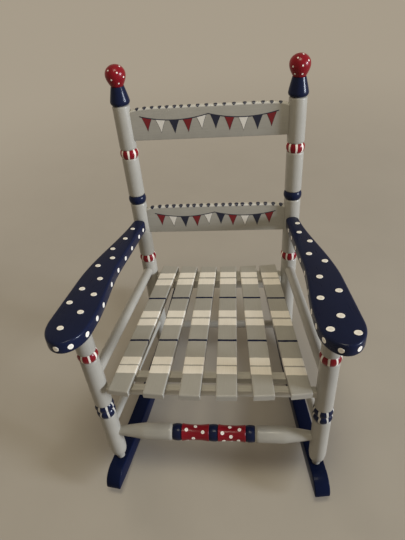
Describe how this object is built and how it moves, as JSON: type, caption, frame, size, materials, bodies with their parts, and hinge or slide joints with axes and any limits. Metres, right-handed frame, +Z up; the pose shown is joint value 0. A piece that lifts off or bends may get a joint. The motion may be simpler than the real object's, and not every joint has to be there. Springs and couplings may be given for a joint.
{
  "type": "child's rocking chair",
  "caption": "Child's rocking chair with turned posts, a fan-shaped slatted seat, a slatted back, paddle arms and curved rockers, painted grey, navy and red.",
  "frame": {"origin": "on the floor, in the middle of the chair's outline seen from above", "axes": "+Z up, -Y the way the sitter looks, +X to the sitter's left"},
  "size_m": [0.4672, 0.5666, 0.6964],
  "materials": {
    "grey_paint": "semi-gloss light grey paint on wood, with red, navy and cream bands",
    "navy_paint": "semi-gloss navy paint on wood, with cream dots on the arms",
    "bare_beech": "unpainted beech",
    "zinc_steel": "zinc plated"
  },
  "bodies": {
    "root": {"front_post_left": "grey_paint", "front_post_right": "grey_paint", "back_post_left": "grey_paint", "back_post_right": "grey_paint", "crest_slat": "grey_paint", "lower_back_slat": "grey_paint", "front_seat_rail": "grey_paint", "front_batten": "grey_paint", "back_seat_rail": "grey_paint", "upper_side_rung_left": "grey_paint", "upper_side_rung_right": "grey_paint", "lower_side_rung_left": "grey_paint", "lower_side_rung_right": "grey_paint", "front_rung": "grey_paint", "back_rung": "grey_paint", "seat_slat_1": "grey_paint", "seat_slat_2": "grey_paint", "seat_slat_3": "grey_paint", "seat_slat_4": "grey_paint", "seat_slat_5": "grey_paint", "seat_slat_6": "grey_paint", "rocker_left": "navy_paint", "rocker_right": "navy_paint", "arm_left": "navy_paint", "arm_right": "navy_paint", "arm_dowel_left": "bare_beech", "arm_dowel_right": "bare_beech", "arm_end_dowel_left": "bare_beech", "arm_end_dowel_right": "bare_beech", "seat_screw_front_1": "zinc_steel", "seat_screw_front_2": "zinc_steel", "seat_screw_front_3": "zinc_steel", "seat_screw_front_4": "zinc_steel", "seat_screw_front_5": "zinc_steel", "seat_screw_front_6": "zinc_steel", "seat_screw_back_1": "zinc_steel", "seat_screw_back_2": "zinc_steel", "seat_screw_back_3": "zinc_steel", "seat_screw_back_4": "zinc_steel", "seat_screw_back_5": "zinc_steel", "seat_screw_back_6": "zinc_steel", "rocker_screw_front_left": "zinc_steel", "rocker_screw_front_right": "zinc_steel", "rocker_screw_back_left": "zinc_steel", "rocker_screw_back_right": "zinc_steel"}
  },
  "joints": []
}
